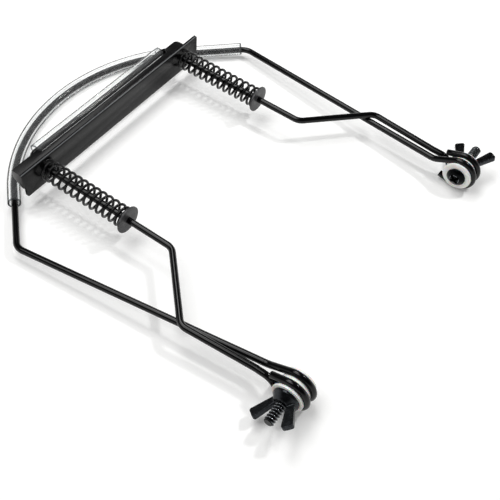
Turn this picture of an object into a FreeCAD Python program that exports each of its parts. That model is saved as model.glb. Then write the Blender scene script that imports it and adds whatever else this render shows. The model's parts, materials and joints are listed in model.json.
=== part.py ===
import FreeCAD, Part
import math
import os

Vector = FreeCAD.Vector

# Neck-worn instrument holder, lying folded on a flat surface, in millimetres.
# Two bent wire frames turn on each other at two bolted eyes. The outer one, the yoke,
# goes round the neck. The inner one, the clamp frame, ends in a bridge, and a sprung
# plate slides along its legs and presses the instrument against the bridge.
# +X runs along the pivot axis from the left pivot to the right one, +Y from the
# pivots to the yoke's crown, +Z up from the surface, which is Z = 0.

# Wire of both frames
rod_radius = 2.0

# Eye at the end of each arm: radius of its centre line, and the straight tail on
# which its wire runs out beside the arm that it came from
eye_radius = 9.6
eye_tail = 10.0

# Yoke, seen along the pivot axis: how far the arms' plane lies over the axis, and
# where along the arm the kink lies that lifts the wire onto the top of its eye
arm_height = 2.5
yoke_kink_along = 17.9
kink_bend_radius = 12.0
yoke_eye_end_angle = 285.0

# Yoke, seen from above
shoulder_x = 113.3
shoulder_along = 178.1
shoulder_slope = 47.6
shoulder_bend_radius = 9.0
crown_radius = 111.3

# Clamp frame, seen along the pivot axis
leg_height = 1.9
leg_drop_radius = 8.0
clamp_eye_end_angle = 70.0

# Clamp frame, seen from above: its eye's leg, the jog inwards and the bridge
clamp_kink_along = 22.0
outer_jog_x = 102.3
outer_jog_along = 67.7
inner_leg_x = 65.2
inner_jog_along = 103.2
jog_bend_radius = 8.0
bridge_along = 213.1
bridge_bend_radius = 5.5

# Where the folded clamp frame lies on the yoke's arms
resting_gap = 0.31

# Clear sleeves: one on the crown, slid towards the right shoulder, one on the bridge
sleeve_wall = 1.0
sleeve_bore_radius = 3.0
sleeve_seat_gap = 0.05
neck_sleeve_left_inset = 11.8
bridge_sleeve_left_reach = 59.1
bridge_sleeve_right_reach = 59.7

# Pivot stack, from the bolt's head outwards
pivot_head_x = 89.0
outer_washer_thickness = 1.5
middle_washer_thickness = 2.0
washer_radius = 9.4
washer_edge_radius = 0.3
eye_side_gap = 0.05
eye_bore_gap = 0.05
bolt_radius = 3.0
bolt_length = 30.0
bolt_bore_gap = 0.05
bolt_tip_chamfer = 0.6
bolt_head_radius = 6.0
bolt_head_height = 3.6
bolt_head_rim = 0.9
recess_reach = 3.3
recess_width = 1.7
recess_depth = 2.2

# Wing nut, by distance from its axis and height over its seat: a rim that narrows to
# the top of the hub, and a wing that runs from its root on the rim to a slanting tip
nut_flange_radius = 7.8
nut_flange_thickness = 1.2
nut_top_radius = 4.7
nut_hub_height = 5.0
nut_face_gap = 0.05
wing_root_radius = 7.0
wing_root_height = 2.3
wing_tip_radius = 14.2
wing_tip_height = 13.8
wing_crest_radius = 9.0
wing_crest_height = 17.8
wing_throat_radius = 3.6
wing_thickness = 2.9
wing_corner_radius = 1.4
wing_turn_left = -27.0
wing_turn_right = -10.0

# Clamp plate: bent from sheet, with the web across the legs and a flange along the top
sheet_thickness = 1.5
web_half_length = 82.3
web_top = 8.4
web_bottom = 11.4
web_face_along = 200.9
web_corner_radius = 1.8
flange_depth = 6.2
narrow_flange_depth = 3.3
wide_flange_left_end = 63.0
wide_flange_right_start = 57.0
flange_right_end = 69.0
flange_corner_radius = 3.0
flange_step_run = 1.5
lip_height_at_web = 11.0
lip_height_at_edge = 6.0
bend_outer_radius = 1.9
leg_hole_gap = 0.3

# Springs and their seats on the inner legs
seat_along = 135.0
seat_radius = 8.65
seat_thickness = 1.0
seat_bore_gap = 0.02
spring_outer_radius = 6.9
spring_wire_radius = 0.85
spring_turns = 14
spring_end_turns = 0.75
spring_end_pitch = 2.3
spring_seat_gap = 0.1
spring_plate_gap = 0.3
arcs_per_turn = 4
samples_per_turn = 72

# How far a cutting solid runs past the face it cuts
overrun = 2.0

# Worked out from the sizes above
eye_bore_radius = eye_radius - rod_radius
pivot_height = eye_radius + rod_radius
sleeve_radius = sleeve_bore_radius + sleeve_wall
sleeve_offset = sleeve_bore_radius - rod_radius - sleeve_seat_gap
yoke_eye_x = pivot_head_x + outer_washer_thickness + eye_side_gap + rod_radius
middle_washer_x = yoke_eye_x + rod_radius + eye_side_gap
clamp_eye_x = middle_washer_x + middle_washer_thickness + eye_side_gap + rod_radius
nut_washer_x = clamp_eye_x + rod_radius + eye_side_gap
nut_face_x = nut_washer_x + outer_washer_thickness + nut_face_gap
bolt_bore_radius = bolt_radius + bolt_bore_gap
shoulder_radius = eye_bore_radius - eye_bore_gap
web_inner_along = web_face_along - sheet_thickness
spring_radius = spring_outer_radius - spring_wire_radius


def crown_corner_along():
    """Where the two shoulders' lines would meet, beyond the crown."""
    return shoulder_along + shoulder_x * math.tan(math.radians(shoulder_slope))


def crown_centre_along():
    return crown_corner_along() - crown_radius / math.cos(math.radians(shoulder_slope))


def yoke_tilt():
    """Angle at which the yoke lies: eyes and crown sleeve both touch the surface."""
    reach = crown_centre_along() + crown_radius
    rest_height = rod_radius + sleeve_seat_gap + sleeve_wall
    span = math.hypot(reach, arm_height)
    return -math.degrees(math.asin((pivot_height - rest_height) / span) + math.atan2(arm_height, reach))


def crossing_along():
    """Distance from the pivot axis at which the jog crosses over the yoke's arm."""
    arm_slope = (shoulder_x - yoke_eye_x) / (shoulder_along - yoke_kink_along)
    jog_slope = (outer_jog_x - inner_leg_x) / (inner_jog_along - outer_jog_along)
    arm_at_pivot = yoke_eye_x - yoke_kink_along * arm_slope
    jog_at_pivot = outer_jog_x + outer_jog_along * jog_slope
    return (jog_at_pivot - arm_at_pivot) / (jog_slope + arm_slope)


def fold_angle():
    """Angle between the frames when the jogs lie on the yoke's arms."""
    rise = arm_height + rod_radius + rod_radius + resting_gap
    span = math.hypot(crossing_along(), leg_height)
    return math.degrees(math.asin(rise / span) - math.atan2(leg_height, crossing_along()))


def in_frame(shape, angle):
    """Put a shape drawn about the pivot axis into its resting place."""
    placed = shape.copy()
    placed.rotate(Vector(0, 0, 0), Vector(1, 0, 0), angle)
    placed.translate(Vector(0, 0, pivot_height))
    return placed


def on_yoke(shape):
    return in_frame(shape, yoke_tilt())


def on_clamp(shape):
    return in_frame(shape, yoke_tilt() + fold_angle())


# A path is a list of runs: two points for a straight, three for an arc

def rounded_corner(before, corner, after, radius):
    """Arc of the given radius, tangent to the two lines that meet at a corner."""
    back = (before - corner).normalize()
    ahead = (after - corner).normalize()
    half = back.getAngle(ahead) / 2
    run = radius / math.tan(half)
    middle = (back + ahead).normalize()
    sagitta = radius / math.sin(half) - radius
    return (corner + back * run, corner + middle * sagitta, corner + ahead * run)


def joined(arcs, start, end):
    """Path from start to end with straights between the arcs."""
    path = []
    at = start
    for arc in arcs:
        path.append((at, arc[0]))
        path.append(arc)
        at = arc[-1]
    path.append((at, end))
    return path


def mirrored(path):
    return [tuple(Vector(-p.x, p.y, p.z) for p in run) for run in path]


def reversed_path(path):
    return [tuple(reversed(run)) for run in reversed(path)]


def both_sides(half):
    """Whole path from the left end to the right one, from its right half."""
    return mirrored(half) + reversed_path(half)


def eye_tail_run(tip, before):
    """Straight tail that runs on past the tip of an eye, away from the arc's earlier points.

    It is square to the radius at the tip, on the side that the arc doesn't take.
    """
    outward = Vector(0, tip.y, tip.z).normalize()
    ahead = Vector(0, -outward.z, outward.y)
    if ahead.dot(before - tip) > 0:
        ahead = -ahead
    return (tip + ahead * eye_tail, tip)


def loop_arcs(x, first_angle, last_angle):
    """Arcs round an eye, by angle in degrees from +Y towards +Z."""
    count = math.ceil(abs(last_angle - first_angle) / 90.0)
    step = (last_angle - first_angle) / count

    def on_loop(angle):
        turn = math.radians(angle)
        return Vector(x, eye_radius * math.cos(turn), eye_radius * math.sin(turn))

    arcs = []
    for index in range(count):
        start = first_angle + index * step
        arcs.append((on_loop(start), on_loop(start + step / 2), on_loop(start + step)))
    return arcs


def wire_of(path):
    edges = []
    for run in path:
        if len(run) == 3:
            edges.append(Part.Arc(*run).toShape())
        else:
            edges.append(Part.LineSegment(*run).toShape())
    return Part.Wire(edges)


def swept(path, radius, bore_radius=0):
    """Round rod, or tube where it has a bore, along a path."""
    start = path[0][0]
    ahead = path[0][1] - start
    section = Part.Face(Part.Wire(Part.Circle(start, ahead, radius).toShape()))
    if bore_radius:
        bore = Part.Face(Part.Wire(Part.Circle(start, ahead, bore_radius).toShape()))
        section = section.cut(bore).Faces[0]
    return wire_of(path).makePipe(section)


def yoke_shoulder_arc():
    kink = Vector(yoke_eye_x, yoke_kink_along, arm_height)
    shoulder = Vector(shoulder_x, shoulder_along, arm_height)
    corner = Vector(0, crown_corner_along(), arm_height)
    return rounded_corner(kink, shoulder, corner, shoulder_bend_radius)


def crown_half_arc():
    """Right half of the crown's arc, from the shoulder's straight to the middle."""
    slope = math.radians(shoulder_slope)
    centre = crown_centre_along()

    def on_crown(angle):
        x = crown_radius * math.sin(angle)
        return Vector(x, centre + crown_radius * math.cos(angle), arm_height)

    return (on_crown(slope), on_crown(slope / 2), on_crown(0))


def yoke_path():
    """Centre line of the yoke, drawn about the pivot axis."""
    kink = Vector(yoke_eye_x, yoke_kink_along, arm_height)
    shoulder = Vector(shoulder_x, shoulder_along, arm_height)
    far = math.hypot(kink.y, kink.z)
    lead = math.degrees(math.atan2(kink.z, kink.y) + math.acos(eye_radius / far))
    loop = loop_arcs(yoke_eye_x, yoke_eye_end_angle, lead)
    kink_arc = rounded_corner(loop[-1][-1], kink, shoulder, kink_bend_radius)
    crown = crown_half_arc()
    arm = joined([kink_arc, yoke_shoulder_arc()], loop[-1][-1], crown[0])
    tail = eye_tail_run(loop[0][0], loop[0][1])
    return both_sides([tail] + loop + arm + [crown])


def yoke():
    return on_yoke(swept(yoke_path(), rod_radius))


def neck_sleeve():
    """Clear tube on the crown, from short of the left shoulder's bend to the start of the right one's.

    The wire lies on the bottom of its bore.
    """
    crown = crown_half_arc()
    shoulder = yoke_shoulder_arc()
    back = (Vector(shoulder_x, shoulder_along, arm_height) - crown[0]).normalize()
    left_end = crown[0] + back * neck_sleeve_left_inset
    path = mirrored([(left_end, crown[0]), crown])
    path += reversed_path([(shoulder[-1], crown[0]), crown])
    tube = swept(path, sleeve_radius, sleeve_bore_radius)
    tube.translate(Vector(0, 0, sleeve_offset))
    return on_yoke(tube)


def leg_drop():
    """Counter-bend from the leg down onto the front of its eye, and the angle where they meet."""
    drop = leg_height - leg_drop_radius
    along = math.sqrt((eye_radius + leg_drop_radius) ** 2 - drop ** 2)
    lead = math.atan2(drop, along)
    start = Vector(clamp_eye_x, eye_radius * math.cos(lead), eye_radius * math.sin(lead))
    turn = (math.pi / 2 + math.pi + lead) / 2
    across = leg_drop_radius * math.cos(turn)
    up = leg_drop_radius * math.sin(turn)
    middle = Vector(clamp_eye_x, along + across, drop + up)
    return (start, middle, Vector(clamp_eye_x, along, leg_height)), math.degrees(lead)


def clamp_frame_path():
    """Centre line of the clamp frame, drawn about the pivot axis."""
    drop_arc, lead = leg_drop()
    loop = loop_arcs(clamp_eye_x, clamp_eye_end_angle - 360.0, lead)
    tail = eye_tail_run(loop[0][0], loop[0][1])
    kink = Vector(clamp_eye_x, clamp_kink_along, leg_height)
    outer_jog = Vector(outer_jog_x, outer_jog_along, leg_height)
    inner_jog = Vector(inner_leg_x, inner_jog_along, leg_height)
    corner = Vector(inner_leg_x, bridge_along, leg_height)
    middle = Vector(0, bridge_along, leg_height)
    arcs = [
        rounded_corner(drop_arc[-1], kink, outer_jog, kink_bend_radius),
        rounded_corner(kink, outer_jog, inner_jog, jog_bend_radius),
        rounded_corner(outer_jog, inner_jog, corner, jog_bend_radius),
        rounded_corner(inner_jog, corner, middle, bridge_bend_radius),
    ]
    leg = joined(arcs, drop_arc[-1], middle)
    return both_sides([tail] + loop + [drop_arc] + leg)


def clamp_frame():
    return on_clamp(swept(clamp_frame_path(), rod_radius))


def bridge_sleeve():
    """Clear tube on the bridge: the wire lies on the plate's side of its bore."""
    along = bridge_along + sleeve_offset
    left = Vector(-bridge_sleeve_left_reach, along, leg_height)
    right = Vector(bridge_sleeve_right_reach, along, leg_height)
    return on_clamp(swept([(left, right)], sleeve_radius, sleeve_bore_radius))


def plate_section():
    """Section across the plate: the web, the bend along its top and the flange."""
    high = leg_height + web_top
    low = leg_height - web_bottom
    edge = web_face_along + flange_depth
    inner = bend_outer_radius - sheet_thickness

    def at(along, height):
        return Vector(-web_half_length - sheet_thickness, along, height)

    foot = at(web_inner_along, low)
    brow = at(edge, high)
    outer_arc = rounded_corner(foot, at(web_inner_along, high), brow, bend_outer_radius)
    under = high - sheet_thickness
    inner_arc = rounded_corner(at(edge, under), at(web_face_along, under), at(web_face_along, low), inner)
    path = joined([outer_arc], foot, brow)
    path.append((brow, at(edge, under)))
    path += joined([inner_arc], at(edge, under), at(web_face_along, low))
    path.append((at(web_face_along, low), foot))
    return Part.Face(wire_of(path))


def plate_plan():
    """Outline from above: flange wide at both ends, narrow between, none on the right tab."""
    left = -web_half_length - sheet_thickness
    edge = web_face_along + flange_depth
    narrow = web_face_along + narrow_flange_depth
    inner_right = Vector(wide_flange_right_start, edge, 0)
    right_corner = Vector(flange_right_end, edge, 0)
    right_root = Vector(flange_right_end, web_face_along, 0)
    arc = rounded_corner(inner_right, right_corner, right_root, flange_corner_radius)
    before = [
        Vector(left, web_inner_along, 0),
        Vector(left, edge, 0),
        Vector(-wide_flange_left_end, edge, 0),
        Vector(-wide_flange_left_end + flange_step_run, narrow, 0),
        Vector(wide_flange_right_start - flange_step_run, narrow, 0),
        inner_right,
        arc[0],
    ]
    after = [
        arc[2],
        right_root,
        Vector(web_half_length, web_face_along, 0),
        Vector(web_half_length, web_inner_along, 0),
        before[0],
    ]
    return Part.Face(wire_of(list(zip(before, before[1:])) + [arc] + list(zip(after, after[1:]))))


def plate_front():
    """Outline from the pivots' side, with three corners rounded and the lip's left end square."""
    high = leg_height + web_top
    low = leg_height - web_bottom
    lip = high - lip_height_at_web
    left = -web_half_length - sheet_thickness
    start = Vector(left, 0, high)
    corners = [
        Vector(-web_half_length, 0, lip),
        Vector(-web_half_length, 0, low),
        Vector(web_half_length, 0, low),
        Vector(web_half_length, 0, high),
        start,
    ]
    triples = zip(corners, corners[1:], corners[2:])
    arcs = [rounded_corner(a, b, c, web_corner_radius) for a, b, c in triples]
    path = [(start, Vector(left, 0, lip)), (Vector(left, 0, lip), corners[0])]
    path += joined(arcs, corners[0], start)
    return Part.Face(wire_of(path))


def end_lip():
    """Lip folded back from the web's left end, tapering towards its outer edge."""
    x = -web_half_length - sheet_thickness
    high = leg_height + web_top - sheet_thickness
    low_at_edge = leg_height + web_top - lip_height_at_edge
    low_at_web = leg_height + web_top - lip_height_at_web
    corners = [
        Vector(x, web_face_along, high),
        Vector(x, web_face_along + flange_depth, high),
        Vector(x, web_face_along + flange_depth, low_at_edge),
        Vector(x, web_face_along, low_at_web),
    ]
    outline = Part.makePolygon(corners + [corners[0]])
    return Part.Face(outline).extrude(Vector(sheet_thickness, 0, 0))


def clamp_plate():
    """Pressed plate that slides on the inner legs."""
    sheet = plate_section().extrude(Vector(2 * web_half_length + sheet_thickness, 0, 0))
    plan = plate_plan()
    plan.translate(Vector(0, 0, leg_height - web_bottom - overrun))
    sheet = sheet.common(plan.extrude(Vector(0, 0, web_top + web_bottom + 2 * overrun)))
    front = plate_front()
    front.translate(Vector(0, web_inner_along - overrun, 0))
    sheet = sheet.common(front.extrude(Vector(0, sheet_thickness + flange_depth + 2 * overrun, 0)))
    sheet = sheet.fuse(end_lip()).removeSplitter()
    for side in (-1, 1):
        start = Vector(side * inner_leg_x, web_inner_along - overrun, leg_height)
        depth = sheet_thickness + 2 * overrun
        sheet = sheet.cut(Part.makeCylinder(rod_radius + leg_hole_gap, depth, start, Vector(0, 1, 0)))
    return on_clamp(sheet)


def spring_seat(side):
    """Push-on disc that the spring stands on."""
    centre = Vector(side * inner_leg_x, seat_along, leg_height)
    disc = Part.makeCylinder(seat_radius, seat_thickness, centre, Vector(0, 1, 0))
    bore = Part.makeCylinder(rod_radius + seat_bore_gap, seat_thickness + 2 * overrun,
                             centre - Vector(0, overrun, 0), Vector(0, 1, 0))
    return on_clamp(disc.cut(bore))


def spring_length():
    """Distance between the centres of the wire's two ends, along the leg."""
    room = web_inner_along - seat_along - seat_thickness
    return room - spring_seat_gap - spring_plate_gap - 2 * spring_wire_radius


def spring_pitches(turn):
    """Advance and pitch of the spring after a number of turns.

    The pitch is small in the end turns, grows evenly over one turn and is steady between.
    """
    ramp = 1.0
    total = spring_turns
    spare = spring_length() - spring_end_pitch * total
    wide = spring_end_pitch + spare / (total - 2 * spring_end_turns - ramp)

    def from_end(t):
        inside = min(max(t - spring_end_turns, 0), ramp)
        level = max(t - spring_end_turns - ramp, 0)
        extra = inside * inside / (2 * ramp) + level
        return spring_end_pitch * t + (wide - spring_end_pitch) * extra, inside / ramp

    if turn <= total / 2:
        advance, share = from_end(turn)
    else:
        back, share = from_end(total - turn)
        advance = spring_length() - back
    return advance, spring_end_pitch + (wide - spring_end_pitch) * share


def spring_point(turn):
    """Point on the spring's centre line and its direction there, about its own axis Y."""
    advance, pitch = spring_pitches(turn)
    angle = 2 * math.pi * turn
    point = Vector(-spring_radius * math.sin(angle), advance, spring_radius * math.cos(angle))
    around = 2 * math.pi * spring_radius
    ahead = Vector(-around * math.cos(angle), pitch, -around * math.sin(angle)).normalize()
    return point, ahead


def tangent_arc(start, knee, end):
    """Arc from start to end, tangent to the lines that meet at the knee."""
    middle = (start + end) * 0.5
    rise = knee - middle
    half_chord = (end - start).Length / 2
    lean = math.atan2(rise.Length, half_chord)
    crown = middle + rise.normalize() * (half_chord * math.tan(lean / 2))
    return (start, crown, end)


def biarc(start, start_ahead, end, end_ahead):
    """Two tangent arcs that join two points with a given direction at each."""
    chord = end - start
    ahead = start_ahead + end_ahead
    spread = 2 * (1 - start_ahead.dot(end_ahead))
    along = chord.dot(ahead)
    arm = (math.sqrt(along * along + spread * chord.dot(chord)) - along) / spread
    first_knee = start + start_ahead * arm
    last_knee = end - end_ahead * arm
    joint = (first_knee + last_knee) * 0.5
    return [tangent_arc(start, first_knee, joint), tangent_arc(joint, last_knee, end)]


def spring(side):
    """Open-wound compression spring round one inner leg, as one unbroken tube."""
    path = []
    for step in range(spring_turns * arcs_per_turn):
        start, start_ahead = spring_point(step / arcs_per_turn)
        end, end_ahead = spring_point((step + 1) / arcs_per_turn)
        path += biarc(start, start_ahead, end, end_ahead)
    start, ahead = spring_point(0)
    section = Part.Wire(Part.Circle(start, ahead, spring_wire_radius).toShape())
    coil = wire_of(path).makePipeShell([section], True, False)
    first_along = seat_along + seat_thickness + spring_seat_gap + spring_wire_radius
    coil.translate(Vector(side * inner_leg_x, first_along, leg_height))
    return on_clamp(coil)


def spring_gap():
    """Least clear gap between one turn of the spring's wire and another."""
    count = spring_turns * samples_per_turn
    points = [spring_point(index / samples_per_turn)[0] for index in range(count + 1)]
    apart = samples_per_turn // 2
    least = min(
        (points[i] - points[j]).Length
        for i in range(len(points))
        for j in range(i + apart, min(len(points), i + 2 * samples_per_turn))
    )
    return least - 2 * spring_wire_radius


# Pieces of a pivot are turned about an axis that points outwards, then put on their side

def on_pivot(shape, side, x):
    """Move a shape drawn along +Z from its inner face to a place on the pivot axis."""
    placed = shape.copy()
    placed.rotate(Vector(0, 0, 0), Vector(0, 1, 0), side * 90)
    placed.translate(Vector(side * x, 0, pivot_height))
    return placed


def turned(outline):
    """Solid of revolution about Z from radius and height pairs."""
    points = [Vector(radius, 0, height) for radius, height in outline]
    face = Part.Face(Part.makePolygon(points + [points[0]]))
    return face.revolve(Vector(0, 0, 0), Vector(0, 0, 1), 360)


def flat_washer(thickness):
    disc = Part.makeCylinder(washer_radius, thickness)
    disc = disc.makeFillet(washer_edge_radius, disc.Edges[:1] + disc.Edges[2:3])
    return disc


def bored(shape, height):
    bore = Part.makeCylinder(bolt_bore_radius, height + 2 * overrun, Vector(0, 0, -overrun))
    return shape.cut(bore)


def shouldered_washer():
    """Nylon washer with a shoulder on its outer face that fills the wire's eye."""
    shoulder_length = 2 * rod_radius
    height = outer_washer_thickness + shoulder_length
    blank = flat_washer(outer_washer_thickness).fuse(Part.makeCylinder(shoulder_radius, height))
    return bored(blank.removeSplitter(), height)


def head_washer(side):
    return on_pivot(shouldered_washer(), side, pivot_head_x)


def middle_washer(side):
    washer = bored(flat_washer(middle_washer_thickness), middle_washer_thickness)
    return on_pivot(washer, side, middle_washer_x)


def nut_washer(side):
    """The same washer as under the head, turned round, with its shoulder in the clamp frame's eye."""
    washer = shouldered_washer()
    washer.rotate(Vector(0, 0, 0), Vector(1, 0, 0), 180)
    return on_pivot(washer, side, nut_washer_x + outer_washer_thickness)


def pivot_bolt(side):
    """Pan-head machine screw with a cross recess, its head towards the neck."""
    head = turned([
        (0, 0),
        (bolt_head_radius, 0),
        (bolt_head_radius, -bolt_head_rim),
        (0, -bolt_head_rim),
    ])
    dome_height = bolt_head_height - bolt_head_rim
    dome_radius = (bolt_head_radius ** 2 + dome_height ** 2) / (2 * dome_height)
    ball = Part.makeSphere(dome_radius, Vector(0, 0, dome_radius - bolt_head_height))
    cap = Part.makeCylinder(bolt_head_radius, dome_height, Vector(0, 0, -bolt_head_height)).common(ball)
    shank = turned([
        (0, 0),
        (bolt_radius, 0),
        (bolt_radius, bolt_length - bolt_tip_chamfer),
        (bolt_radius - bolt_tip_chamfer, bolt_length),
        (0, bolt_length),
    ])
    bolt = shank.fuse([head, cap]).removeSplitter()
    for turn in (0, 90):
        slot = Part.makeBox(2 * recess_reach, recess_width, recess_depth + overrun)
        slot.translate(Vector(-recess_reach, -recess_width / 2, -bolt_head_height - overrun))
        slot.rotate(Vector(0, 0, 0), Vector(0, 0, 1), turn + 45)
        bolt = bolt.cut(slot)
    return on_pivot(bolt, side, pivot_head_x)


def wing(direction):
    """One wing: a flat blade that leans outwards from the hub to its slanting tip."""
    tip = Vector(wing_tip_radius, 0, wing_tip_height)
    crest = Vector(wing_crest_radius, 0, wing_crest_height)
    corners = [
        Vector(bolt_radius, 0, wing_root_height),
        Vector(wing_root_radius, 0, wing_root_height),
        tip,
        crest,
        Vector(wing_throat_radius, 0, nut_hub_height),
        Vector(bolt_radius, 0, nut_hub_height),
    ]
    start = corners[0]
    arcs = [
        rounded_corner(corners[1], tip, crest, wing_corner_radius),
        rounded_corner(tip, crest, corners[4], wing_corner_radius),
    ]
    path = [(start, corners[1])] + joined(arcs, corners[1], corners[4])
    path += [(corners[4], corners[5]), (corners[5], start)]
    blade = Part.Face(wire_of(path))
    blade.translate(Vector(0, -wing_thickness / 2, 0))
    blade = blade.extrude(Vector(0, wing_thickness, 0))
    if direction < 0:
        blade.rotate(Vector(0, 0, 0), Vector(0, 0, 1), 180)
    return blade


def wing_nut(side, wing_turn):
    """Cast wing nut: a low hub that widens to its rim, with two leaning wings."""
    hub = turned([
        (0, 0),
        (nut_flange_radius, 0),
        (nut_flange_radius, nut_flange_thickness),
        (nut_top_radius, nut_hub_height),
        (0, nut_hub_height),
    ])
    nut = bored(hub.fuse([wing(-1), wing(1)]).removeSplitter(), nut_hub_height)
    # On its side the nut's own X lies along Z, so a quarter turn lays the wings level
    nut.rotate(Vector(0, 0, 0), Vector(0, 0, 1), 90 + side * wing_turn)
    return on_pivot(nut, side, nut_face_x)


def all_pieces():
    """Every piece by name, standing on the surface, before the origin is centred."""
    pieces = {
        "neck_yoke": yoke(),
        "neck_sleeve": neck_sleeve(),
        "clamp_frame": clamp_frame(),
        "bridge_sleeve": bridge_sleeve(),
        "clamp_plate": clamp_plate(),
    }
    for name, side, wing_turn in (("left", -1, wing_turn_left), ("right", 1, wing_turn_right)):
        pieces["pivot_bolt_" + name] = pivot_bolt(side)
        pieces["head_washer_" + name] = head_washer(side)
        pieces["middle_washer_" + name] = middle_washer(side)
        pieces["nut_washer_" + name] = nut_washer(side)
        pieces["wing_nut_" + name] = wing_nut(side, wing_turn)
        pieces["spring_seat_" + name] = spring_seat(side)
        pieces["spring_" + name] = spring(side)
    return pieces


def main():
    pieces = all_pieces()
    box = Part.makeCompound(list(pieces.values())).optimalBoundingBox(False, False)
    centring = Vector(-(box.XMin + box.XMax) / 2, -(box.YMin + box.YMax) / 2, -box.ZMin)
    os.makedirs("parts", exist_ok=True)
    for name, piece in pieces.items():
        piece.translate(centring)
        piece.exportStep("parts/" + name + ".step")
        print(name, "solids", len(piece.Solids), "valid", piece.isValid(), "volume %.2f" % piece.Volume)
    print("box %.3f %.3f %.3f" % (box.XLength, box.YLength, box.ZLength))
    print("centring %.4f %.4f %.4f" % (centring.x, centring.y, centring.z))
    print("yoke tilt %.4f, fold angle %.4f, crossing %.3f" % (yoke_tilt(), fold_angle(), crossing_along()))
    print("least gap between turns of a spring %.3f mm" % spring_gap())


main()
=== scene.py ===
import json
import math
import bmesh
import bpy
import numpy as np
from mathutils import Matrix, Vector


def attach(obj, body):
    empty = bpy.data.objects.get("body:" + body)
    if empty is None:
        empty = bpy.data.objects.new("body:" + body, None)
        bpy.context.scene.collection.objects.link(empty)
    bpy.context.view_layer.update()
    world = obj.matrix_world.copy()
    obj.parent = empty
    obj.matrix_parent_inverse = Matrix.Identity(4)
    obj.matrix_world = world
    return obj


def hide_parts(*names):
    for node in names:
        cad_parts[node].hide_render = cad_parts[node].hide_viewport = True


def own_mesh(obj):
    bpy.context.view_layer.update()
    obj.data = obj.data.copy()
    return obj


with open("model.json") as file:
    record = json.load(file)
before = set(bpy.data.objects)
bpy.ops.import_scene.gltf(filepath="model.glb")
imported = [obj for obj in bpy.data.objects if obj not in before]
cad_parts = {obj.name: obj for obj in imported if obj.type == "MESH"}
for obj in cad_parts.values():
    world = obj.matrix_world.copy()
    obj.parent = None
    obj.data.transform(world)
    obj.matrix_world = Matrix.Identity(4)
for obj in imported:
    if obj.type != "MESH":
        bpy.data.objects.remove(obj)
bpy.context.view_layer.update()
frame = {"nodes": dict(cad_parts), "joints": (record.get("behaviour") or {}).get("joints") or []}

# Neck yoke: 4 mm mild steel wire, sheared to length and cold bent on pins into a U, with an eye
# and a short straight tail at each end. It is enamelled black after bending, cut ends and all.

MM = 0.001
joints = {joint["name"]: joint for joint in frame["joints"]}
pivot = np.array(joints["clamp_fold"]["pos_m"])

wire_radius = 2.0 * MM
wire_end_round = 0.3 * MM
wire_end_rings = 4
eye_radius = 9.6 * MM
eye_tail = 10.0 * MM
yoke_eye_x = 92.55 * MM
arm_height = 2.5 * MM
yoke_kink_along = 17.9 * MM
kink_bend_radius = 12.0 * MM
yoke_eye_end = math.radians(285.0)
shoulder_x = 113.3 * MM
shoulder_along = 178.1 * MM
shoulder_slope = math.radians(47.6)
shoulder_bend_radius = 9.0 * MM
crown_radius = 111.3 * MM
sleeve_wall = 1.0 * MM
sleeve_bore_radius = 3.0 * MM
sleeve_seat_gap = 0.05 * MM

crown_corner_along = shoulder_along + shoulder_x * math.tan(shoulder_slope)
crown_centre_along = crown_corner_along - crown_radius / math.cos(shoulder_slope)
crown_reach = crown_centre_along + crown_radius
yoke_drop = pivot[2] - wire_radius - sleeve_seat_gap - sleeve_wall
yoke_tilt = -math.asin(yoke_drop / math.hypot(crown_reach, arm_height)) - math.atan2(arm_height, crown_reach)


def laid(points, angle):
    """Points drawn about the pivot axis, turned about it by an angle and moved to its place."""
    c, s = math.cos(angle), math.sin(angle)
    turn = np.array([[1, 0, 0], [0, c, -s], [0, s, c]])
    return points @ turn.T + pivot


def corner_arc(before, corner, after, radius, count=14):
    """Points of the arc that is tangent to both lines at a corner.

    The centre lies on the corner's bisector, radius / sin(half the corner's angle) away.
    """
    before, corner, after = (np.asarray(p, float) for p in (before, corner, after))
    back = (before - corner) / np.linalg.norm(before - corner)
    ahead = (after - corner) / np.linalg.norm(after - corner)
    half = math.acos(back @ ahead) / 2
    middle = (back + ahead) / np.linalg.norm(back + ahead)
    centre = corner + middle * radius / math.sin(half)
    start = corner + back * radius / math.tan(half) - centre
    turn = np.linspace(0, math.pi - 2 * half, count)[:, None]
    return centre + start * np.cos(turn) - back * radius * np.sin(turn)


def eye_arc(x, first, last, count=90):
    """Points round an eye: (x, r cos a, r sin a) for the angle a from first to last."""
    turn = np.linspace(first, last, count)
    return np.stack([np.full(count, x), eye_radius * np.cos(turn), eye_radius * np.sin(turn)], 1)


def eye_tail_end(tip, before):
    """End of the straight tail that runs on past an eye's tip, square to the radius there."""
    ahead = np.array([0, -tip[2], tip[1]]) / eye_radius
    return tip - ahead * eye_tail * np.sign(ahead @ (before - tip))


def distance(line):
    """Distance along a line at each of its points: the sum of the lengths before it."""
    return np.append(0, np.cumsum(np.linalg.norm(np.diff(line, axis=0), axis=1)))


def at_distances(line, values, along):
    """Values given at a line's points, read at other distances along it."""
    known = distance(line)
    return np.stack([np.interp(along, known, values[:, k]) for k in range(3)], 1)


def filled(line, step=4.0 * MM):
    """The same line with its long straight runs divided, so that no two points are far apart."""
    known = distance(line)
    even = np.linspace(0, known[-1], int(known[-1] / step) + 1)
    along = np.unique(np.round(np.concatenate([known, even]), 6))
    return at_distances(line, line, along)


def mirrored(points):
    """The same points on the other side of the middle."""
    return points * np.array([-1, 1, 1])


lead_turn_from = 22.0 * MM
lead_turn_run = 36.0 * MM


def wire_leads(line):
    """A crosswise direction for each point of a frame's wire.

    It is the pivot axis at the eyes and turns steadily to the frame's own normal along the
    arms, so it never meets the wire's direction.
    """
    share = np.clip((line[:, 1] - lead_turn_from) / lead_turn_run, 0, 1)
    turn = share * share * (3 - 2 * share) * math.pi / 2
    return np.stack([np.cos(turn), np.zeros(len(line)), np.sin(turn)], 1)


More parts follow.
